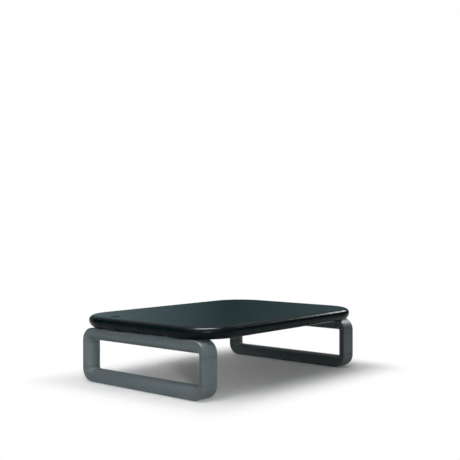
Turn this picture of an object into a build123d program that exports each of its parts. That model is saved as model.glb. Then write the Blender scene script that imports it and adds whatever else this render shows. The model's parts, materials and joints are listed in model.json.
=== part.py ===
from build123d import *
import os

# Stackable monitor riser: a rounded moulded platform on two loop legs. Each leg is a stack that
# pulls apart by hand: an upper frame under the platform, a spacer in each column and a foot frame.
# Millimetres. X runs along the front edge, Y to the back, Z up from the desk.
# The origin is on the desk, under the middle of the platform.

# Platform
platform_width = 412.0
platform_depth = 293.0
platform_height = 19.4
platform_corner = 64.0
shoulder_width = 8.5  # how far the top edge's round reaches inwards
shoulder_drop = 8.0  # how far it falls from the flat top to the widest line
toe_width = 12.0  # how far the lower edge tucks under
flat_margin = 2.0  # flat strip that the edge section keeps inside its shoulder
skin = 3.0
rim = 17.0
rib_thickness = 2.2
rib_pitch = 46.0

# Cover let into the platform's underside
cover_thickness = 3.0
cover_ledge = 3.0
cover_gap = 0.2
cover_screw_columns = 4
cover_screw_rows = 2
cover_screw_margin = 18.0  # from the rim's inner wall, and from each leg's inner side

# Round disc let into the platform's top
disc_radius = 7.0
disc_thickness = 1.2
disc_recess = 0.2
disc_edge = 0.3
disc_gap = 0.15
disc_from_side = 26.0
disc_from_back = 75.0

# Legs
leg_side_inset = 8.2  # from the platform's widest line in to a leg's outer side
leg_end_inset = 15.1  # the same at the front and back
leg_width = 30.0
leg_corner = 21.0
window_corner = 2.0
column_thickness = 15.3
upper_frame_height = 24.25
spacer_height = 38.1
foot_frame_height = 24.25  # desk to lower seam, pads included
top_bar = 19.45
bottom_bar = 19.7  # desk to the bar's upper face, pads included
outer_edge_round = 1.5
window_edge_round = 10.0
seam_chamfer = 0.4

# Tongues that stand up from each lower piece into the socket above
tongue_width = 16.0
tongue_thickness = 6.0
tongue_height = 12.0
tongue_lead_in = 1.0
tongue_fit = 0.2
tongue_end_gap = 0.6

# Hollows of the frames
frame_wall = 3.5
web_thickness = 2.0
web_count = 5  # cross webs in a foot frame
foot_hollow_width = 15.6
strip_thickness = 3.0
strip_ledge = 1.5
strip_gap = 0.15
strip_end_margin = 4.0  # from the corner round to the strip's end

# Rubber pads
pad_width = 13.0
pad_length = 34.0
pad_seat = 1.5
pad_proud = 1.0
pad_gap = 0.15
pad_end_margin = 4.0  # from the strip's end
pad_edge = 0.3

# Screws
thread_gap = 0.05
head_gap = 0.4
cross_width = 0.9  # arms of the cross recess
cross_span = 1.2  # length of the arms, in head radii
cross_depth = 0.6  # depth of the recess, in head heights
head_round = 0.4  # round of the head's rim, in head heights
point_share = 0.6  # length of the tapered point, in shank radii
boss_wall = 3.4
blind_gap = 1.0  # free depth beyond a screw's tip
leg_screw_count = 4
leg_screw_margin = 15.0  # from the end of the frame's hollow to the last screw
leg_screw_radius = 2.1
leg_head_radius = 3.8
leg_head_height = 2.4
leg_head_sink = 3.0
leg_screw_grip = 9.0  # thread held in the platform
cover_screw_radius = 1.5
cover_head_radius = 2.8
cover_head_height = 1.5
cover_head_sink = 1.6
cover_screw_grip = 9.0
foot_screw_count = 3
foot_screw_margin = 12.0  # from a pad to the nearest screw
foot_screw_radius = 1.3
foot_head_radius = 2.5
foot_head_height = 1.3
foot_head_sink = 1.4
foot_screw_grip = 7.0

# Cutters run this far past the face that they open
overrun = 1.0
same_height = 0.001

# Worked out from the values above
leg_depth = platform_depth - 2 * leg_end_inset
lower_seam = foot_frame_height
upper_seam = lower_seam + spacer_height
leg_height = upper_seam + upper_frame_height
platform_top_z = leg_height + platform_height
window_floor = bottom_bar
window_roof = leg_height - top_bar
leg_inner_side = platform_width / 2 - leg_side_inset - leg_width
leg_centre = leg_inner_side + leg_width / 2
column_centre = (leg_depth - column_thickness) / 2
cover_top_z = leg_height + cover_thickness
cover_inset = rim - cover_ledge
strip_half = leg_depth / 2 - leg_corner - strip_end_margin
strip_top_z = pad_proud + strip_thickness
strip_width = foot_hollow_width + 2 * strip_ledge
pad_centre = strip_half - pad_end_margin - pad_length / 2
upper_pocket_half = platform_depth / 2 - platform_corner
disc_x = -(platform_width / 2 - disc_from_side)
disc_y = platform_depth / 2 - disc_from_back


def spread(count, pitch):
    """Positions of a row of equally spaced things, centred on zero."""
    return [(index - (count - 1) / 2) * pitch for index in range(count)]


def between(count, half_span):
    """Positions of a row that reaches from minus to plus the half span."""
    return spread(count, 2 * half_span / max(count - 1, 1))


def block(width, depth, low, high, x=0.0, y=0.0):
    """Plain block between two heights."""
    return Pos(x, y, (low + high) / 2) * Box(width, depth, high - low)


def rod(radius, low, high, x=0.0, y=0.0):
    """Plain upright cylinder between two heights."""
    return Pos(x, y, (low + high) / 2) * Cylinder(radius, high - low)


def plan_block(inset, low, high):
    """Block with the platform's plan, drawn in from its widest line, between two heights."""
    corner = platform_corner - inset
    plan = RectangleRounded(platform_width - 2 * inset, platform_depth - 2 * inset, corner)
    return Pos(0, 0, low) * extrude(plan, amount=high - low)


def screw(shank_radius, head_radius, head_height, length):
    """Cross-head screw that points up, with the seat of its head at Z = 0."""
    shank = rod(shank_radius, 0, length)
    shank = chamfer(shank.edges().sort_by(Axis.Z)[-1], point_share * shank_radius)
    head = rod(head_radius, -head_height, 0)
    head = fillet(head.edges().sort_by(Axis.Z)[0], head_round * head_height)
    arm = cross_span * head_radius
    low = -head_height - overrun
    high = -head_height + cross_depth * head_height
    cross = block(arm, cross_width, low, high) + block(cross_width, arm, low, high)
    return shank + (head - cross)


# Places of the screws
leg_screw_y = between(leg_screw_count, upper_pocket_half - leg_screw_margin)
leg_screw_seat = window_roof + leg_head_sink
leg_screw_length = cover_top_z - leg_screw_seat + leg_screw_grip
cover_screw_x = between(cover_screw_columns, leg_inner_side - cover_screw_margin)
cover_screw_y = between(cover_screw_rows, platform_depth / 2 - rim - cover_screw_margin)
cover_screw_seat = leg_height + cover_head_sink
cover_screw_length = cover_top_z - cover_screw_seat + cover_screw_grip
foot_screw_y = between(foot_screw_count, pad_centre - pad_length / 2 - foot_screw_margin)
foot_screw_seat = pad_proud + foot_head_sink
foot_screw_length = strip_top_z - foot_screw_seat + foot_screw_grip
leg_screw_places = [(side * leg_centre, y) for side in (-1, 1) for y in leg_screw_y]
cover_screw_places = [(x, y) for x in cover_screw_x for y in cover_screw_y]


def platform_slab():
    """Outer form of the platform: an elliptical shoulder over a tucked-in lower edge."""
    core_inset = max(shoulder_width, toe_width) + flat_margin
    corner = platform_corner - core_inset
    reach_x = platform_width / 2 - core_inset
    reach_y = platform_depth / 2 - core_inset
    straight_x = reach_x - corner
    straight_y = reach_y - corner
    widest_z = platform_top_z - shoulder_drop
    top_start = (core_inset - shoulder_width, widest_z)
    low_start = (core_inset - toe_width, widest_z)
    outline = [
        EllipticalCenterArc(low_start, toe_width, widest_z - leg_height, 270, arc_size=90),
        EllipticalCenterArc(top_start, shoulder_width, shoulder_drop, 0, arc_size=90),
        Polyline(
            (top_start[0], platform_top_z), (0, platform_top_z), (0, leg_height), (low_start[0], leg_height)
        ),
    ]
    section = Plane.XZ * make_face(Curve() + outline)
    slab = plan_block(core_inset, leg_height, platform_top_z)
    long_side = extrude(section, amount=straight_y, both=True)
    short_side = extrude(section, amount=straight_x, both=True)
    corner_round = revolve(Pos(corner, 0, 0) * section, axis=Axis.Z, revolution_arc=90)
    for turn, side_x, side_y in ((0, 1, 1), (90, -1, 1), (180, -1, -1), (270, 1, -1)):
        slab += Pos(side_x * straight_x, side_y * straight_y) * Rot(0, 0, turn) * corner_round
    for turn in (0, 180):
        slab += Rot(0, 0, turn) * Pos(reach_x, 0, 0) * long_side
        slab += Rot(0, 0, turn + 90) * Pos(reach_y, 0, 0) * short_side
    return slab


def platform_top():
    """Moulded top: outer form, hollow underside with ribs, and bosses for the screws."""
    shell = platform_slab()
    cavity = plan_block(rim, leg_height, platform_top_z - skin)
    cover_seat = plan_block(cover_inset, leg_height, cover_top_z)
    shell = shell - cavity - cover_seat
    roof = platform_top_z - skin
    inner_width = platform_width - 2 * rim
    inner_depth = platform_depth - 2 * rim
    stiffening = Part()
    ribs_across = int(inner_depth / 2 / rib_pitch)
    ribs_along = int(inner_width / 2 / rib_pitch)
    for y in spread(2 * ribs_across + 1, rib_pitch):
        stiffening += block(inner_width, rib_thickness, cover_top_z, roof, y=y)
    for x in spread(2 * ribs_along + 1, rib_pitch):
        stiffening += block(rib_thickness, inner_depth, cover_top_z, roof, x=x)
    for x, y in leg_screw_places:
        stiffening += rod(leg_screw_radius + boss_wall, cover_top_z, roof, x, y)
    for x, y in cover_screw_places:
        stiffening += rod(cover_screw_radius + boss_wall, cover_top_z, roof, x, y)
    shell += stiffening & plan_block(rim, cover_top_z, roof)
    for x, y in leg_screw_places:
        tip = leg_screw_seat + leg_screw_length + blind_gap
        shell -= rod(leg_screw_radius + thread_gap, cover_top_z, tip, x, y)
    for x, y in cover_screw_places:
        tip = cover_screw_seat + cover_screw_length + blind_gap
        shell -= rod(cover_screw_radius + thread_gap, cover_top_z, tip, x, y)
    disc_floor = platform_top_z - disc_recess - disc_thickness
    shell -= rod(disc_radius + disc_gap, disc_floor, platform_top_z + overrun, disc_x, disc_y)
    return shell


def platform_base():
    """Flat cover under the platform, flush with the rim, with clearance holes for all the screws."""
    plate = plan_block(cover_inset + cover_gap, leg_height, cover_top_z)
    for x, y in leg_screw_places:
        plate -= rod(leg_screw_radius + head_gap, leg_height - overrun, cover_top_z + overrun, x, y)
    for x, y in cover_screw_places:
        plate -= rod(cover_screw_radius + thread_gap, leg_height - overrun, cover_top_z + overrun, x, y)
        plate -= rod(cover_head_radius + head_gap, leg_height - overrun, cover_screw_seat, x, y)
    return plate


def round_inset():
    """Bare round disc that lies just below the platform's top face."""
    low = platform_top_z - disc_recess - disc_thickness
    disc = rod(disc_radius, low, low + disc_thickness, disc_x, disc_y)
    return chamfer(disc.edges().group_by(Axis.Z)[-1], disc_edge)


def screw_group(places, seat, radius, head_radius, head_height, length):
    """Equal screws standing at the given places."""
    pattern = screw(radius, head_radius, head_height, length)
    return [Pos(x, y, seat) * pattern for x, y in places]


def loop_blank():
    """A whole leg loop centred on X = 0, before it is parted into frames and spacers."""
    outline = Pos(0, (pad_proud + leg_height) / 2) * RectangleRounded(
        leg_depth, leg_height - pad_proud, leg_corner
    )
    window = Pos(0, (window_floor + window_roof) / 2) * RectangleRounded(
        leg_depth - 2 * column_thickness, window_roof - window_floor, window_corner
    )
    loop = extrude(Plane.YZ * (outline - window), amount=leg_width / 2, both=True)
    sides = loop.faces().sort_by(Axis.X)
    outer_edges = sides[0].outer_wire().edges() + sides[-1].outer_wire().edges()
    loop = fillet(outer_edges, outer_edge_round)
    sides = loop.faces().sort_by(Axis.X)
    inner_edges = sides[0].inner_wires().edges() + sides[-1].inner_wires().edges()
    return fillet(inner_edges, window_edge_round)


def loop_slice(low, high):
    """Part of the loop between two heights, with its seam outlines broken by a small chamfer."""
    piece = loop_blank() & block(2 * leg_width, 2 * leg_depth, low, high)
    for seam in (lower_seam, upper_seam):
        level = piece.faces().filter_by(Plane.XY)
        on_seam = level.filter_by(lambda face: abs(face.center().Z - seam) < same_height)
        if on_seam:
            piece = chamfer(on_seam.edges(), seam_chamfer)
    return piece


def tongue(y, seam):
    """Flat tongue that stands up from a seam at the middle of a column."""
    stem = block(tongue_width, tongue_thickness, seam, seam + tongue_height, y=y)
    return chamfer(stem.edges().group_by(Axis.Z)[-1], tongue_lead_in)


def socket(y, seam):
    """Room for a tongue, from a seam up into the piece above it."""
    width = tongue_width + 2 * tongue_fit
    thickness = tongue_thickness + 2 * tongue_fit
    return block(width, thickness, seam - overrun, seam + tongue_height + tongue_end_gap, y=y)


def upper_frame():
    """Inverted U under the platform: open-topped hollow bar with screw bosses, and two sockets.

    The hollow's lower edges are concentric with the bar's rounded edges, so its wall is even.
    """
    frame = loop_slice(upper_seam, leg_height)
    hollow_width = leg_width - 2 * frame_wall
    floor = window_roof + frame_wall
    hollow = block(hollow_width, 2 * upper_pocket_half, floor, leg_height)
    low_edges = hollow.edges().filter_by(Axis.Y).group_by(Axis.Z)[0]
    hollow = fillet(low_edges, window_edge_round - frame_wall)
    keep = Part()
    for y in leg_screw_y:
        keep += rod(leg_screw_radius + boss_wall, floor, leg_height, y=y)
        keep += block(hollow_width, web_thickness, floor, leg_height, y=y)
    frame -= hollow - keep
    for y in leg_screw_y:
        frame -= rod(leg_screw_radius + head_gap, window_roof - overrun, leg_height + overrun, y=y)
        frame -= rod(leg_head_radius + head_gap, window_roof - overrun, leg_screw_seat, y=y)
    for side in (-1, 1):
        frame -= socket(side * column_centre, upper_seam)
    return frame


def spacer(side):
    """Column spacer at the front (side -1) or back (side 1): socket below, tongue above."""
    both = loop_slice(lower_seam, upper_seam)
    piece = Part() + both.solids().sort_by(Axis.Y)[0 if side < 0 else -1]
    piece -= socket(side * column_centre, lower_seam)
    return piece + tongue(side * column_centre, upper_seam)


def strip_plan(width, length, low, high, y=0.0):
    """Flat bar with round ends that runs along Y between two heights."""
    plan = Rot(0, 0, 90) * SlotOverall(length, width)
    return Pos(0, y, low) * extrude(plan, amount=high - low)


def foot_frame():
    """U-shaped foot: hollow bar open below, screw bosses and webs inside it, and two tongues."""
    frame = loop_slice(pad_proud, lower_seam)
    roof = window_floor - frame_wall
    hollow = strip_plan(foot_hollow_width, 2 * (strip_half - strip_ledge), pad_proud, roof)
    keep = Part()
    for y in foot_screw_y:
        keep += rod(foot_screw_radius + boss_wall, strip_top_z, roof, y=y)
    for y in between(web_count, strip_half - pad_length):
        keep += block(foot_hollow_width, web_thickness, strip_top_z, roof, y=y)
    frame -= hollow - keep
    frame -= strip_plan(strip_width, 2 * strip_half, pad_proud - overrun, strip_top_z)
    for y in foot_screw_y:
        tip = foot_screw_seat + foot_screw_length + blind_gap
        frame -= rod(foot_screw_radius + thread_gap, strip_top_z, tip, y=y)
    for side in (-1, 1):
        frame += tongue(side * column_centre, lower_seam)
    return frame


def foot_strip():
    """Strip that closes a foot frame from below and holds its two pads."""
    strip = strip_plan(strip_width - 2 * strip_gap, 2 * (strip_half - strip_gap), pad_proud, strip_top_z)
    for side in (-1, 1):
        width = pad_width + 2 * pad_gap
        length = pad_length + 2 * pad_gap
        strip -= strip_plan(width, length, pad_proud - overrun, pad_proud + pad_seat, side * pad_centre)
    for y in foot_screw_y:
        strip -= rod(foot_screw_radius + thread_gap, pad_proud - overrun, strip_top_z + overrun, y=y)
        strip -= rod(foot_head_radius + head_gap, pad_proud - overrun, foot_screw_seat, y=y)
    return strip


def foot_pad(side):
    """Rubber pad at the front or back end of a foot."""
    pad = strip_plan(pad_width, pad_length, 0, pad_proud + pad_seat, side * pad_centre)
    return fillet(pad.edges().group_by(Axis.Z)[0], pad_edge)


def save(name, *solids):
    """Write one node; several solids are kept apart in it."""
    shape = solids[0] if len(solids) == 1 else Compound(children=list(solids))
    export_step(shape, f"parts/{name}.step")


def save_platform():
    """Write the platform's own nodes."""
    save("platform_top", platform_top())
    save("platform_base", platform_base())
    save("round_inset", round_inset())
    save("platform_screws", *screw_group(
        cover_screw_places, cover_screw_seat,
        cover_screw_radius, cover_head_radius, cover_head_height, cover_screw_length,
    ))


def save_leg(name, side):
    """Write the nodes of the leg on one side: -1 is left, 1 is right."""
    place = Pos(side * leg_centre, 0, 0)
    leg_screws = screw_group(
        [(0, y) for y in leg_screw_y], leg_screw_seat,
        leg_screw_radius, leg_head_radius, leg_head_height, leg_screw_length,
    )
    foot_screws = screw_group(
        [(0, y) for y in foot_screw_y], foot_screw_seat,
        foot_screw_radius, foot_head_radius, foot_head_height, foot_screw_length,
    )
    save(f"{name}_upper_frame", place * upper_frame())
    save(f"{name}_leg_screws", *[place * item for item in leg_screws])
    save(f"{name}_foot_frame", place * foot_frame())
    save(f"{name}_foot_strip", place * foot_strip())
    save(f"{name}_foot_screws", *[place * item for item in foot_screws])
    for end, end_side in (("front", -1), ("rear", 1)):
        save(f"{name}_{end}_spacer", place * spacer(end_side))
        save(f"{name}_{end}_pad", place * foot_pad(end_side))


os.makedirs("parts", exist_ok=True)
save_platform()
save_leg("left", -1)
save_leg("right", 1)
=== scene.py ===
import json
import logging
import math
from dataclasses import dataclass
from enum import Enum
from typing import Any

import bmesh
import bpy
from mathutils import Euler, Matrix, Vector


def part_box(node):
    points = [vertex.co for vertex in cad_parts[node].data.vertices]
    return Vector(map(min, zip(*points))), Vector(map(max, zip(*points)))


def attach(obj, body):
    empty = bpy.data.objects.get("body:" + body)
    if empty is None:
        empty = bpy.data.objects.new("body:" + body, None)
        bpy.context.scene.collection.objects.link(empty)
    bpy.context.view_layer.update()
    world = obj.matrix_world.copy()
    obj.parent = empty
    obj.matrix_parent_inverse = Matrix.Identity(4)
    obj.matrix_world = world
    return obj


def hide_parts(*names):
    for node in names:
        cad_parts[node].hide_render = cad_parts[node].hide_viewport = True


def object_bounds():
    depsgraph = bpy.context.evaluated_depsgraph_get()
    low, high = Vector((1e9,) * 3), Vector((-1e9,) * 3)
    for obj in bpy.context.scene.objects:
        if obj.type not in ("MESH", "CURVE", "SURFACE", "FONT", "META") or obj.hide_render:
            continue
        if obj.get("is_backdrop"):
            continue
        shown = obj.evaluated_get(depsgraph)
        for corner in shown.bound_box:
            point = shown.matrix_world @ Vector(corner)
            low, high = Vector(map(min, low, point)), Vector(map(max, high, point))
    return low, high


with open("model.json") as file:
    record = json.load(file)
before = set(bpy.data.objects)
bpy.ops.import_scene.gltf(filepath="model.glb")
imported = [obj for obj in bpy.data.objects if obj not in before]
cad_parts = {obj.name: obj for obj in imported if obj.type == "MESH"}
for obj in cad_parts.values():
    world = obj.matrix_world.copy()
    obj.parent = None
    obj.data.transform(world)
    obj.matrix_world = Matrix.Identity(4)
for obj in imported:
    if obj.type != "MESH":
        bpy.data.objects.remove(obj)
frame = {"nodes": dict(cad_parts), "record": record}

Colour = tuple[float, float, float]
Point = tuple[float, float, float]
NEAR = 0.00001
WHITE: Colour = (1.0, 1.0, 1.0)
log = logging.getLogger("monitor_riser")


class Slot(Enum):
    """Material slots that the record names."""

    PLATFORM = "platform_plastic"
    LEG = "leg_plastic"
    COVER = "cover_plastic"
    INSET = "inset_plastic"
    PAD = "pad_rubber"
    SCREW = "screw_steel"


class Side(Enum):
    """The two legs."""

    LEFT = "left"
    RIGHT = "right"


class End(Enum):
    """The two ends of a leg."""

    FRONT = "front"
    REAR = "rear"


class Graph:
    """Adds and joins the nodes of one material or world."""

    def __init__(self, tree: bpy.types.NodeTree) -> None:
        """Start from an empty tree.

        Args:
            tree: node tree of the material or world to fill.
        """
        self.tree = tree
        self.tree.nodes.clear()

    def add(self, kind: str, inputs: dict[str, Any] | None = None, **settings: Any) -> bpy.types.Node:
        """Add a node.

        Args:
            kind: node type without its ShaderNode prefix.
            inputs: values or output sockets, by input name.
            settings: attributes of the node itself.

        Returns:
            The new node.
        """
        node = self.tree.nodes.new("ShaderNode" + kind)
        for key, value in settings.items():
            setattr(node, key, value)
        for key, value in (inputs or {}).items():
            socket = node.inputs[key]
            if isinstance(value, bpy.types.NodeSocket):
                self.tree.links.new(value, socket)
            else:
                socket.default_value = value
        return node

    def noise(self, place: bpy.types.NodeSocket, size: float, detail: float = 2.0) -> bpy.types.NodeSocket:
        """Even noise whose features are about the given size.

        Args:
            place: coordinates in metres.
            size: size of a feature in metres.
            detail: octaves of finer noise on top.

        Returns:
            Socket with values around one half.
        """
        node = self.add("TexNoise", {"Vector": place, "Scale": 1.0 / size, "Detail": detail})
        return node.outputs["Fac"]

    def span(self, value: bpy.types.NodeSocket, low: float, high: float,
             start: float = 0.3, end: float = 0.7) -> bpy.types.NodeSocket:
        """Spread a value over a new range.

        Args:
            value: socket to read.
            low: result at start.
            high: result at end.
            start: value that gives low.
            end: value that gives high.

        Returns:
            Socket with the new value, kept within the range.
        """
        inputs = {"Value": value, "From Min": start, "From Max": end, "To Min": low, "To Max": high}
        return self.add("MapRange", inputs).outputs["Result"]

    def blend(self, share: bpy.types.NodeSocket, first: Any, second: Any) -> bpy.types.NodeSocket:
        """Mix two colours.

        Args:
            share: how much of the second colour shows.
            first: colour or socket at share 0.
            second: colour or socket at share 1.

        Returns:
            Socket with the mixed colour.
        """
        node = self.add("Mix", data_type="RGBA")
        ends = {"Factor": share, "A": first, "B": second}
        for socket in node.inputs:
            if not socket.enabled or socket.name not in ends:
                continue
            value = ends[socket.name]
            if isinstance(value, bpy.types.NodeSocket):
                self.tree.links.new(value, socket)
            else:
                socket.default_value = value
        return next(socket for socket in node.outputs if socket.enabled)

    def finish(self, surface: bpy.types.NodeSocket, kind: str = "OutputMaterial") -> None:
        """Join a surface to a new output node.

        Args:
            surface: socket of the shader to show.
            kind: kind of output, for a material or a world.
        """
        output = self.add(kind)
        self.tree.links.new(surface, output.inputs["Surface"])

    def looked_at(self) -> bpy.types.NodeSocket:
        """Whether the camera, a reflection or a clear piece looks straight at this surface.

        Returns:
            Socket that is 1 for such rays and 0 for light that only scatters.
        """
        path = self.add("LightPath")
        seen = path.outputs["Is Camera Ray"]
        for kind in ("Is Glossy Ray", "Is Transmission Ray"):
            either = self.add("Math", operation="MAXIMUM")
            self.tree.links.new(seen, either.inputs[0])
            self.tree.links.new(path.outputs[kind], either.inputs[1])
            seen = either.outputs[0]
        return seen

    def edge_mask(self, radius: float, start: float, end: float) -> bpy.types.NodeSocket:
        """Mask of the lighter band along outer edges.

        Args:
            radius: half width of the band in metres.
            start: bend of the normal at which the band begins.
            end: bend at which the band is full.

        Returns:
            Socket that is 0 on flats and 1 on edges.
        """
        soft = self.add("Bevel", {"Radius": radius}, samples=4).outputs["Normal"]
        true = self.add("NewGeometry").outputs["Normal"]
        likeness = self.add("VectorMath", operation="DOT_PRODUCT")
        self.tree.links.new(soft, likeness.inputs[0])
        self.tree.links.new(true, likeness.inputs[1])
        return self.span(likeness.outputs["Value"], 1.0, 0.0, 1 - end, 1 - start)


def rgba(colour: Colour) -> tuple[float, float, float, float]:
    """The colour with full opacity."""
    return (*colour, 1.0)


def scaled(colour: Colour, factor: float) -> Colour:
    """The colour made lighter or darker by a factor."""
    red, green, blue = (factor * channel for channel in colour)
    return red, green, blue


def facing(place: Point, aim: Point) -> Euler:
    """Turn that points an object's -Z axis from its place at an aim, with its Y axis up."""
    return (Vector(aim) - Vector(place)).to_track_quat("-Z", "Y").to_euler()


def place_object(name: str, data: bpy.types.ID) -> bpy.types.Object:
    """Put new data into the scene.

    Args:
        name: name of the object.
        data: its mesh, lamp or camera.

    Returns:
        The new object.
    """
    made = bpy.data.objects.new(name, data)
    bpy.context.scene.collection.objects.link(made)
    return made


def as_mesh(name: str, form: bmesh.types.BMesh) -> bpy.types.Mesh:
    """Turn an edited form into a mesh and free it.

    Args:
        name: name of the mesh.
        form: the form, which can't be used afterwards.

    Returns:
        The new mesh.
    """
    mesh = bpy.data.meshes.new(name)
    form.to_mesh(mesh)
    form.free()
    return mesh


def sheet(name: str, half_width: float, half_height: float) -> bpy.types.Object:
    """Put a flat rectangle into the scene, centred and level.

    Args:
        name: name of the sheet.
        half_width: half its size along X.
        half_height: half its size along Y.

    Returns:
        The new object.
    """
    mesh = bpy.data.meshes.new(name)
    square = [(-1, -1), (1, -1), (1, 1), (-1, 1)]
    mesh.from_pydata([(x * half_width, y * half_height, 0) for x, y in square], [], [(0, 1, 2, 3)])
    return place_object(name, mesh)


def new_material(name: str) -> tuple[bpy.types.Material, Graph]:
    """Make an empty material.

    Args:
        name: name of the material.

    Returns:
        The material and the graph that fills it.
    """
    made = bpy.data.materials.new(name)
    made.use_nodes = True
    return made, Graph(made.node_tree)


def rough_surface(graph: Graph, inputs: dict[str, Any], height: bpy.types.NodeSocket,
                  relief: float, strength: float = 1.0) -> None:
    """Finish a material with a shader whose surface carries fine relief.

    Args:
        graph: graph of the material.
        inputs: values or sockets of the shader, by input name.
        height: socket with the relief's pattern.
        relief: height of the relief in metres.
        strength: how fully the relief shows.
    """
    shader = graph.add("BsdfPrincipled", inputs)
    bump = graph.add("Bump", {"Height": height, "Strength": strength, "Distance": relief})
    graph.tree.links.new(bump.outputs["Normal"], shader.inputs["Normal"])
    graph.finish(shader.outputs["BSDF"])


@dataclass(frozen=True)
class MouldedPlastic:
    """Injection-moulded plastic: fine spark-eroded grain, faint flow marks, outer edges lightened by wear
    and a painted edge highlight, and painted shade along its seams.
    """

    name: str
    tone: Colour
    roughness: float
    grain: float = 0.00045
    relief: float = 0.00002
    mottle: float = 0.06
    specular: float = 0.5
    flow_size: float = 0.035
    speck_size: float = 0.0011
    speck_share: float = 0.35
    speck_lift: float = 1.12
    gloss_sway: float = 0.08
    edge_radius: float = 0.0008
    edge_lift: float = 1.25
    edge_bend: tuple[float, float] = (0.02, 0.25)
    seams: tuple[float, ...] = ()
    seam_reach: float = 0.0007
    seam_core: float = 0.35
    seam_shade: float = 0.45

    def paint_seam_shade(self, graph: Graph, place: bpy.types.NodeSocket, colour: Any) -> Any:
        """Paint shade on the narrow line where two pieces of a stack meet.

        Args:
            graph: graph of the material.
            place: coordinates in metres.
            colour: colour of the plastic away from the seams.

        Returns:
            Socket with the shaded colour.
        """
        height = graph.add("SeparateXYZ", {"Vector": place}).outputs["Z"]
        for seam in self.seams:
            away = graph.add("Math", operation="SUBTRACT")
            graph.tree.links.new(height, away.inputs[0])
            away.inputs[1].default_value = seam
            gap = graph.add("Math", operation="ABSOLUTE")
            graph.tree.links.new(away.outputs[0], gap.inputs[0])
            near = graph.span(gap.outputs[0], 1.0, 0.0, self.seam_core * self.seam_reach, self.seam_reach)
            # Painted shade: the colour darkens towards each seam line.
            colour = graph.blend(near, colour, rgba(scaled(self.tone, self.seam_shade)))
        return colour

    def material(self) -> bpy.types.Material:
        """Make the material.

        Returns:
            New Blender material with its node tree.
        """
        made, graph = new_material(self.name)
        place = graph.add("TexCoord").outputs["Object"]
        flow = graph.noise(place, size=self.flow_size, detail=3.0)
        speck = graph.noise(place, size=self.speck_size, detail=2.0)
        light, dark = scaled(self.tone, 1 + self.mottle), scaled(self.tone, 1 - self.mottle)
        body = graph.blend(graph.span(flow, 0.0, 1.0), rgba(dark), rgba(light))
        share = graph.span(speck, 0.0, self.speck_share)
        speckled = graph.blend(share, body, rgba(scaled(self.tone, self.speck_lift)))
        # Edges lighter: partly wear, partly a painted edge highlight.
        edge_band = graph.edge_mask(self.edge_radius, *self.edge_bend)
        colour = graph.blend(edge_band, speckled, rgba(scaled(self.tone, self.edge_lift)))
        colour = self.paint_seam_shade(graph, place, colour)
        low, high = self.roughness * (1 - self.gloss_sway), self.roughness * (1 + self.gloss_sway)
        rough = graph.span(flow, low, high)
        grain = graph.noise(place, size=self.grain, detail=3.0)
        inputs = {"Base Color": colour, "Roughness": rough, "Specular IOR Level": self.specular}
        rough_surface(graph, inputs, grain, self.relief)
        return made


@dataclass(frozen=True)
class MattRubber:
    """Black rubber with a dry, slightly dusty skin."""

    name: str
    tone: Colour
    roughness: tuple[float, float] = (0.72, 0.9)
    relief: float = 0.00003
    dust_size: float = 0.004
    dust_share: float = 0.5
    dust_lift: float = 2.2
    pore_size: float = 0.0003

    def material(self) -> bpy.types.Material:
        """Make the material.

        Returns:
            New Blender material with its node tree.
        """
        made, graph = new_material(self.name)
        place = graph.add("TexCoord").outputs["Object"]
        dust = graph.noise(place, size=self.dust_size, detail=5.0)
        pores = graph.noise(place, size=self.pore_size, detail=2.0)
        dusty = rgba(scaled(self.tone, self.dust_lift))
        colour = graph.blend(graph.span(dust, 0.0, self.dust_share), rgba(self.tone), dusty)
        rough = graph.span(dust, *self.roughness)
        rough_surface(graph, {"Base Color": colour, "Roughness": rough}, pores, self.relief)
        return made


@dataclass(frozen=True)
class PlatedSteel:
    """Dark zinc-plated steel with rubbed edges."""

    name: str
    tone: Colour
    roughness: tuple[float, float] = (0.27, 0.47)
    relief: float = 0.00002
    relief_strength: float = 0.6
    cloud_size: float = 0.0015
    cloud_shade: float = 0.85
    edge_radius: float = 0.0003
    edge_lift: float = 1.5
    edge_bend: tuple[float, float] = (0.02, 0.3)

    def material(self) -> bpy.types.Material:
        """Make the material.

        Returns:
            New Blender material with its node tree.
        """
        made, graph = new_material(self.name)
        place = graph.add("TexCoord").outputs["Object"]
        cloud = graph.noise(place, size=self.cloud_size, detail=4.0)
        edge_band = graph.edge_mask(self.edge_radius, *self.edge_bend)
        clouded = rgba(scaled(self.tone, self.cloud_shade))
        plated = graph.blend(graph.span(cloud, 0.0, 1.0), clouded, rgba(self.tone))
        colour = graph.blend(edge_band, plated, rgba(scaled(self.tone, self.edge_lift)))
        rough = graph.span(cloud, *self.roughness)
        inputs = {"Base Color": colour, "Roughness": rough, "Metallic": 1.0}
        rough_surface(graph, inputs, cloud, self.relief, self.relief_strength)
        return made


LEG_SEAMS = (float(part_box("left_front_spacer")[0][2]), float(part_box("left_upper_frame")[0][2]))

FINISHES: dict[Slot, MouldedPlastic | MattRubber | PlatedSteel] = {
    Slot.PLATFORM: MouldedPlastic(
        "platform_plastic", tone=(0.0018, 0.0055, 0.0062), roughness=0.27, relief=0.0000008, specular=0.04,
    ),
    Slot.LEG: MouldedPlastic(
        "leg_plastic", tone=(0.069, 0.089, 0.094), roughness=0.5, relief=0.000006, mottle=0.03,
        specular=0.3, seams=LEG_SEAMS,
    ),
    Slot.COVER: MouldedPlastic("cover_plastic", tone=(0.012, 0.014, 0.016), roughness=0.55, relief=0.00005),
    Slot.INSET: MouldedPlastic(
        "inset_plastic", tone=(0.0018, 0.0042, 0.0048), roughness=0.62, relief=0.000003, specular=0.02,
    ),
    Slot.PAD: MattRubber("pad_rubber", tone=(0.012, 0.012, 0.013)),
    Slot.SCREW: PlatedSteel("screw_steel", tone=(0.32, 0.32, 0.33)),
}


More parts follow.
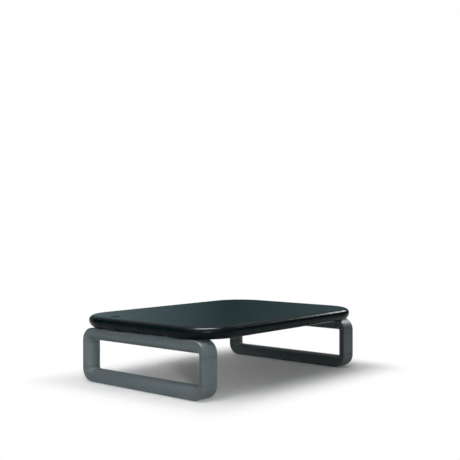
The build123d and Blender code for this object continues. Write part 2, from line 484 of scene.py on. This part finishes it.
class Wardrobe:
    """Makes each finish once and puts it on pieces."""

    def __init__(self) -> None:
        """Start with no material made."""
        self.made: dict[Slot, bpy.types.Material] = {}

    def dress(self, piece: bpy.types.Object, slot: Slot) -> None:
        """Give a piece the finish of a slot.

        Args:
            piece: object to dress.
            slot: slot whose finish it takes.
        """
        if slot not in self.made:
            self.made[slot] = FINISHES[slot].material()
        piece.data.materials.clear()
        piece.data.materials.append(self.made[slot])


@dataclass
class Platform:
    """The platform: moulded top, cover, bare disc and the cover's screws."""

    wardrobe: Wardrobe

    def dress(self) -> list[str]:
        """Dress the nodes.

        Returns:
            Names of the dressed pieces.
        """
        finishes = {
            "platform_top": Slot.PLATFORM,
            "platform_base": Slot.COVER,
            "round_inset": Slot.INSET,
            "platform_screws": Slot.SCREW,
        }
        for node, slot in finishes.items():
            self.wardrobe.dress(frame["nodes"][node], slot)
        return list(finishes)


@dataclass
class RibbedPad:
    """Rubber pad with round ends and cross ribs underneath, in the space of its plain pad."""

    node: str
    body: str
    wardrobe: Wardrobe
    rib_pitch: float = 0.0031
    groove_width: float = 0.0011
    groove_depth: float = 0.0005
    slope: float = 0.0002
    edge: float = 0.0003
    end_steps: int = 14
    narrowest: float = 0.0006

    def half_width(self, along: float, half_length: float, radius: float) -> float:
        """Half width of the pad at a distance from its middle.

        Args:
            along: distance from the middle along the pad.
            half_length: half the pad's length.
            radius: radius of its round ends.

        Returns:
            Half width, never quite zero, so that the ends stay closed.
        """
        past = max(abs(along) - (half_length - radius), 0.0)
        return max(math.sqrt(max(radius ** 2 - past ** 2, 0.0)), self.narrowest)

    def stations(self, half_length: float, radius: float) -> list[tuple[float, float]]:
        """Places along the pad where its section changes.

        Args:
            half_length: half the pad's length.
            radius: radius of its round ends.

        Returns:
            Pairs of distance from the middle and height of the underside there.
        """
        found = []
        for step in range(self.end_steps + 1):
            turn = math.radians(90) * step / self.end_steps
            past = half_length - radius + radius * math.sin(turn)
            found += [(past, 0.0), (-past, 0.0)]
        straight = half_length - radius
        count = int(2 * straight / self.rib_pitch)
        for index in range(count):
            middle = (index - (count - 1) / 2) * self.rib_pitch
            inner = self.groove_width / 2
            outer = inner + self.slope
            found += [(middle - outer, 0.0), (middle - inner, self.groove_depth)]
            found += [(middle + inner, self.groove_depth), (middle + outer, 0.0)]
        return sorted(set(found))

    def build(self) -> bpy.types.Object:
        """Loft the pad's sections and put it in place of the plain pad.

        Returns:
            The dressed pad.
        """
        low, high = (Vector(corner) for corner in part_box(self.node))
        centre = (low + high) / 2
        radius, half_length = (high.x - low.x) / 2, (high.y - low.y) / 2
        form = bmesh.new()
        rings = []
        for along, lift in self.stations(half_length, radius):
            half = self.half_width(along, half_length, radius)
            round_off = min(self.edge, half / 2)
            under = low.z + lift
            section = [
                (-half, high.z), (-half, under + round_off), (-half + round_off, under),
                (half - round_off, under), (half, under + round_off), (half, high.z),
            ]
            rings.append([form.verts.new((centre.x + x, centre.y + along, z)) for x, z in section])
        for first, second in zip(rings, rings[1:]):
            for index in range(len(first)):
                after = (index + 1) % len(first)
                form.faces.new((first[index], first[after], second[after], second[index]))
        form.faces.new(rings[0])
        form.faces.new(rings[-1])
        bmesh.ops.recalc_face_normals(form, faces=form.faces)
        pad = place_object(f"{self.node}_ribbed", as_mesh(f"{self.node}_ribbed", form))
        self.wardrobe.dress(pad, Slot.PAD)
        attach(pad, self.body)
        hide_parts(self.node)
        return pad


@dataclass(frozen=True)
class Window:
    """Outline of a leg's window seen from the side, with round corners."""

    half_length: float
    floor: float
    roof: float
    corner: float = 0.002

    def place(self, y: float, z: float) -> tuple[float, float, float, float]:
        """Where a point lies against the outline.

        Args:
            y: the point's place along the leg.
            z: the point's height.

        Returns:
            Distance outside the outline, the direction away from it in y and z, and how far
            the point is past the start of a corner, which is below 0 on a straight run.
        """
        middle = (self.floor + self.roof) / 2
        past_y = abs(y) - (self.half_length - self.corner)
        past_z = abs(z - middle) - ((self.roof - self.floor) / 2 - self.corner)
        up, along = math.copysign(1.0, z - middle), math.copysign(1.0, y)
        corner = min(past_y, past_z)
        if corner > -NEAR:
            reach = math.hypot(past_y, past_z)
            return reach - self.corner, along * past_y / reach, up * past_z / reach, corner
        if past_y > past_z:
            return past_y - self.corner, along, 0.0, corner
        return past_z - self.corner, 0.0, up, corner

    def point(self, out: float, y: float, z: float, away: tuple[float, float],
              corner: float) -> tuple[float, float]:
        """Point at a distance outside this outline, in line with a point of another one.

        Args:
            out: distance outside the outline.
            y: place along the leg, kept on a bar's straight run.
            z: height, kept on a column's straight run.
            away: direction away from the outline.
            corner: how far the point is past the start of a corner.

        Returns:
            The new place along the leg and height.
        """
        middle = (self.floor + self.roof) / 2
        if corner > -NEAR:
            reach = self.corner + out
            start_y = math.copysign(self.half_length - self.corner, y)
            start_z = self.roof - self.corner if z > middle else self.floor + self.corner
            return start_y + away[0] * reach, start_z + away[1] * reach
        if away[1] == 0.0:
            return math.copysign(self.half_length + out, y), z
        return y, (self.roof + out if z > middle else self.floor - out)


@dataclass
class RoundedLegPiece:
    """Piece of a leg whose window side is a full round, made from a copy of its plainer solid.

    The column and the bars are the leg's thicknesses around its window, as the solids have them.
    The cuts are distances from the leg's middle, and the sharp angle splits the shading.
    """

    node: str
    body: str
    side: Side
    wardrobe: Wardrobe
    column: float = 0.0153
    top_bar: float = 0.01945
    bottom_bar: float = 0.0197
    plain_round: float = 0.010
    full_round: float = 0.014
    seam_chamfer: float = 0.0005
    cuts: tuple[float, ...] = (-0.0037, -0.0024, -0.0010, 0.0010, 0.0024, 0.0037)
    sharp: float = math.radians(32)
    flat_weight: int = 100
    weld: float = NEAR / 5
    cut_reach: float = NEAR / 10

    def windows(self) -> tuple[Window, Window]:
        """Outlines of the solid's window and of the slightly smaller one that it is given.

        Returns:
            The plain window and the new one, which keeps the whole declared opening free.
        """
        side = self.side.value
        low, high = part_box(f"{side}_front_spacer")
        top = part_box(f"{side}_upper_frame")[1][2]
        plain = Window(abs(low[1]) - self.column, self.bottom_bar, top - self.top_bar)
        openings = {row["name"]: row["box_m"] for row in frame["record"]["physics"]["openings"]}
        first, last = openings[f"{side}_leg_window"]
        return plain, Window(last[1], first[2], last[2])

    def sagitta(self, radius: float, inward: float) -> float:
        """Drop of a round below its crest.

        Args:
            radius: radius of the round.
            inward: distance in from the leg's side.

        Returns:
            The drop, which is 0 from one radius inwards.
        """
        return radius - math.sqrt(max(radius ** 2 - max(radius - inward, 0.0) ** 2, 0.0))

    def on_skin(self, inward: float, out: float) -> bool:
        """Whether a point lies on the window side's skin or on its chamfer at a seam.

        Args:
            inward: distance in from the leg's side.
            out: distance outside the window's outline.

        Returns:
            True for a point that moves with the round.
        """
        if inward >= self.plain_round:
            return out < self.seam_chamfer
        if out > self.plain_round + NEAR:
            return False
        reach = math.hypot(self.plain_round - inward, self.plain_round - out)
        return reach > self.plain_round - self.seam_chamfer

    def cut_flats(self, form: bmesh.types.BMesh, window: Window, middle: float, half_width: float) -> None:
        """Cut the window's flats lengthwise, so that they can bend to the full round.

        Args:
            form: the piece's form.
            window: outline of the plain window.
            middle: the leg's middle in X.
            half_width: half the leg's width.
        """

        def flat(face: bmesh.types.BMFace) -> bool:
            """Whether a face lies on a window flat or on its chamfer at a seam.

            Args:
                face: face of the form.

            Returns:
                True for a face that is cut.
            """
            return all(
                half_width - abs(corner.co.x - middle) > self.plain_round - self.seam_chamfer
                and window.place(corner.co.y, corner.co.z)[0] < self.seam_chamfer
                for corner in face.verts
            )

        for offset in self.cuts:
            faces = [face for face in form.faces if flat(face)]
            edges = list({edge for face in faces for edge in face.edges})
            verts = list({vert for face in faces for vert in face.verts})
            bmesh.ops.bisect_plane(
                form, geom=verts + edges + faces, dist=self.cut_reach,
                plane_co=(middle + offset, 0.0, 0.0), plane_no=(1.0, 0.0, 0.0),
            )

    def build(self) -> bpy.types.Object:
        """Copy the solid's mesh, cut its window flats and move the window's skin to the full round.

        Returns:
            The dressed piece, in place of the plain node.
        """
        low, high = (Vector(corner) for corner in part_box(self.node))
        middle, half_width = (low.x + high.x) / 2, (high.x - low.x) / 2
        plain, full = self.windows()
        form = bmesh.new()
        form.from_mesh(frame["nodes"][self.node].data)
        bmesh.ops.remove_doubles(form, verts=form.verts, dist=self.weld)
        self.cut_flats(form, plain, middle, half_width)
        for vert in form.verts:
            inward = half_width - abs(vert.co.x - middle)
            out, along, up, corner = plain.place(vert.co.y, vert.co.z)
            if self.on_skin(inward, out):
                out += self.sagitta(self.full_round, inward) - self.sagitta(self.plain_round, inward)
                vert.co.y, vert.co.z = full.point(out, vert.co.y, vert.co.z, (along, up), corner)
        bmesh.ops.triangulate(form, faces=[face for face in form.faces if len(face.verts) > 4])
        mesh = as_mesh(f"{self.node}_rounded", form)
        mesh.shade_smooth()
        mesh.set_sharp_from_angle(angle=self.sharp)
        piece = place_object(mesh.name, mesh)
        evened = piece.modifiers.new("even_flats", "WEIGHTED_NORMAL")
        evened.keep_sharp = True
        evened.weight = self.flat_weight
        self.wardrobe.dress(piece, Slot.LEG)
        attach(piece, self.body)
        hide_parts(self.node)
        return piece


@dataclass
class Leg:
    """One leg: upper frame, two spacers, foot frame, strip, pads and screws."""

    side: Side
    wardrobe: Wardrobe

    def build(self) -> list[str]:
        """Make the leg's rounded frames and spacers and its ribbed pads.

        Returns:
            Names of the new pieces.
        """
        name = self.side.value
        rides = {f"{name}_upper_frame": "platform", f"{name}_foot_frame": f"{name}_foot"}
        for end in End:
            rides[f"{name}_{end.value}_spacer"] = f"{name}_{end.value}_column"
        pieces = [
            RoundedLegPiece(node, body, self.side, self.wardrobe).build()
            for node, body in rides.items()
        ]
        for end in End:
            pad = RibbedPad(f"{name}_{end.value}_pad", f"{name}_foot", self.wardrobe)
            pieces.append(pad.build())
        return [piece.name for piece in pieces]

    def dress(self) -> list[str]:
        """Dress the nodes.

        Returns:
            Names of the dressed pieces.
        """
        name = self.side.value
        finishes = {
            f"{name}_foot_strip": Slot.COVER,
            f"{name}_leg_screws": Slot.SCREW,
            f"{name}_foot_screws": Slot.SCREW,
        }
        for node, slot in finishes.items():
            self.wardrobe.dress(frame["nodes"][node], slot)
        return list(finishes)


@dataclass(frozen=True)
class Softbox:
    """Rectangular lamp with its place and strength."""

    name: str
    place: Point
    aim: Point
    size: tuple[float, float]
    power: float
    colour: Colour = WHITE
    spread: float = 180.0

    def hang(self) -> None:
        """Add the lamp to the set."""
        data = bpy.data.lights.new(self.name, "AREA")
        data.shape = "RECTANGLE"
        data.size, data.size_y = self.size
        data.energy = self.power
        data.color = self.colour
        data.spread = math.radians(self.spread)
        lamp = place_object(self.name, data)
        lamp.location = self.place
        lamp.rotation_euler = facing(self.place, self.aim)
        lamp.visible_camera = False


@dataclass(frozen=True)
class Card:
    """Studio card that only reflections see, with even shades from its own left to its right."""

    name: str
    centre: Point
    aim: Point
    size: tuple[float, float]
    glows: tuple[Colour, ...]

    def material(self) -> bpy.types.Material:
        """Make the card's glow, which runs evenly through its shades.

        Returns:
            New Blender material with its node tree.
        """
        made, graph = new_material(self.name)
        place = graph.add("TexCoord").outputs["Object"]
        across = graph.add("SeparateXYZ", {"Vector": place}).outputs["X"]
        half_width = self.size[0] / 2
        step = self.size[0] / max(len(self.glows) - 1, 1)
        colour: Any = rgba(self.glows[0])
        for index, glow in enumerate(self.glows[1:]):
            start = -half_width + index * step
            colour = graph.blend(graph.span(across, 0.0, 1.0, start, start + step), colour, rgba(glow))
        graph.finish(graph.add("Emission", {"Color": colour, "Strength": 1.0}).outputs["Emission"])
        return made

    def stand(self) -> None:
        """Add the card, turned to its aim."""
        card = sheet(self.name, self.size[0] / 2, self.size[1] / 2)
        card.data.materials.append(self.material())
        card.location = self.centre
        card.rotation_euler = facing(self.centre, self.aim)
        card.visible_camera = False
        card.visible_diffuse = False
        card.visible_transmission = False
        card.visible_shadow = False
        card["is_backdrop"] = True


LAMPS = (
    Softbox("overhead", place=(-0.10, 0.20, 1.60), aim=(0.0, 0.0, 0.05), size=(1.4, 1.4), power=7.0),
    Softbox("key_left", place=(-1.234, -0.218, 1.544), aim=(0.0, 0.0, 0.05), size=(0.9, 0.7), power=10.5),
    Softbox("grid_left", place=(-1.409, -1.461, 0.450), aim=(-0.183, 0.0, 0.045), size=(0.3, 0.3),
            power=0.27, spread=14.0),
    Softbox("fill_front", place=(-0.494, -1.842, 0.455), aim=(0.0, 0.0, 0.05), size=(0.9, 0.7), power=4.5),
    Softbox("fill_back", place=(0.50, 0.50, 1.50), aim=(0.0, 0.0, 0.05), size=(1.6, 1.6), power=2.1),
)

DIM: Colour = (0.02, 0.025, 0.03)
HAZE: Colour = (0.075, 0.130, 0.138)
CARDS = (
    Card("card_behind", centre=(0.95, 0.80, 0.35), aim=(0.0, 0.0, 0.35), size=(3.0, 0.9),
         glows=(HAZE, HAZE, (0.17, 0.26, 0.28), (0.05, 0.10, 0.105), (0.37, 0.51, 0.56), HAZE, HAZE)),
    Card("card_right", centre=(0.60, -0.75, 0.25), aim=(0.0, 0.0, 0.25), size=(2.3, 0.9), glows=(DIM,)),
    Card("card_front", centre=(-1.75, -1.49, 0.55), aim=(0.0, 0.0, 0.55), size=(4.4, 1.2), glows=(DIM,)),
    Card("card_left", centre=(-0.75, 0.60, 0.25), aim=(0.0, 0.0, 0.25), size=(1.6, 0.9), glows=(DIM,)),
    Card("glint_above", centre=(-0.34, -0.31, 1.14), aim=(-0.19, -0.13, 0.10), size=(0.66, 0.22),
         glows=((230.0, 238.0, 246.0),)),
    Card("glint_right", centre=(0.70, -0.20, 0.41), aim=(0.17, -0.14, 0.10), size=(0.15, 0.09),
         glows=((62.0, 64.0, 66.0),)),
    Card("strip_left", centre=(-1.42, -0.56, 0.25), aim=(-0.19, -0.13, 0.10), size=(0.10, 0.30),
         glows=((14.0, 14.5, 15.0),)),
    Card("strip_right", centre=(-0.82, -1.27, 0.25), aim=(-0.19, -0.13, 0.10), size=(0.10, 0.30),
         glows=((14.0, 14.5, 15.0),)),
)


@dataclass
class Studio:
    """Pale floor, white backdrop, soft lamps, cards and the camera."""

    footprint: Point
    camera_place: Point = (-1.0179, -0.8745, 0.24275)
    camera_heading: float = 49.73
    lens: float = 61.97
    floor_size: float = 60.0
    floor_white: float = 1.0
    floor_bounce: float = 0.8
    pool_white: float = 0.03
    pool_start: float = 0.0
    pool_end: float = 0.085
    ambient: Colour = (0.205, 0.21, 0.212)

    def build(self) -> None:
        """Make the stage, the light and the camera."""
        self.make_floor()
        self.make_world()
        for lamp in LAMPS:
            lamp.hang()
        for card in CARDS:
            card.stand()
        self.make_camera()
        bpy.context.scene.view_settings.view_transform = "Standard"

    def make_floor(self) -> None:
        """Lay a pale floor that keeps the shadow near the riser and is plain white beyond."""
        floor = sheet("floor", self.floor_size / 2, self.floor_size / 2)
        made, graph = new_material("floor_white")
        seen = graph.looked_at()
        place = graph.add("TexCoord").outputs["Object"]
        far = graph.span(
            self.outside(graph, place), self.pool_white, 1.0, self.pool_start, self.pool_end
        )
        far.node.interpolation_type = "SMOOTHSTEP"
        share = graph.add("Math", operation="MULTIPLY")
        graph.tree.links.new(far, share.inputs[0])
        graph.tree.links.new(seen, share.inputs[1])
        bounce, white = (rgba((value,) * 3) for value in (self.floor_bounce, self.floor_white))
        shaded = graph.add("BsdfDiffuse", {"Color": graph.blend(seen, bounce, white)})
        plain = graph.add("Emission", {"Color": rgba(WHITE), "Strength": 1.0})
        mix = graph.add("MixShader", {"Fac": share.outputs[0]})
        graph.tree.links.new(shaded.outputs["BSDF"], mix.inputs[1])
        graph.tree.links.new(plain.outputs["Emission"], mix.inputs[2])
        graph.finish(mix.outputs["Shader"])
        floor.data.materials.append(made)
        floor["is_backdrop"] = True

    def outside(self, graph: Graph, place: bpy.types.NodeSocket) -> bpy.types.NodeSocket:
        """Distance outside the riser's footprint.

        Args:
            graph: graph of the floor's material.
            place: coordinates in metres.

        Returns:
            Socket that is 0 under the riser and grows away from it.
        """
        steps = (("ABSOLUTE", None), ("SUBTRACT", self.footprint), ("MAXIMUM", (0.0, 0.0, 0.0)))
        for operation, value in steps:
            node = graph.add("VectorMath", operation=operation)
            graph.tree.links.new(place, node.inputs[0])
            if value:
                node.inputs[1].default_value = value
            place = node.outputs["Vector"]
        length = graph.add("VectorMath", operation="LENGTH")
        graph.tree.links.new(place, length.inputs[0])
        return length.outputs["Value"]

    def make_world(self) -> None:
        """Surround the set with white where it is looked at, and with soft grey light elsewhere."""
        world = bpy.data.worlds.new("studio")
        bpy.context.scene.world = world
        world.use_nodes = True
        graph = Graph(world.node_tree)
        colour = graph.blend(graph.looked_at(), rgba(self.ambient), rgba(WHITE))
        background = graph.add("Background", {"Color": colour, "Strength": 1.0})
        graph.finish(background.outputs["Background"], kind="OutputWorld")

    def make_camera(self) -> None:
        """Set the camera level, a little higher than the riser, facing its front left corner."""
        data = bpy.data.cameras.new("camera")
        data.lens = self.lens
        data.clip_end = 2 * self.floor_size
        camera = place_object("camera", data)
        camera.location = self.camera_place
        camera.rotation_euler = (math.radians(90), 0.0, -math.radians(self.camera_heading))
        bpy.context.scene.camera = camera


def main() -> None:
    """Build and dress the riser in order, then the stage."""
    logging.basicConfig(level=logging.INFO, format="%(name)s: %(message)s")
    cad_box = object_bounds()
    wardrobe = Wardrobe()
    legs = [Leg(side, wardrobe) for side in Side]
    for part in (Platform(wardrobe), *legs):
        for piece in part.dress():
            log.info("dressed %s", piece)
    for leg in legs:
        for piece in leg.build():
            log.info("built %s", piece)
    half = [(high - low) / 2 for low, high in zip(*cad_box)]
    Studio(footprint=(half[0], half[1], 0.0)).build()


if __name__ == "__main__":
    main()
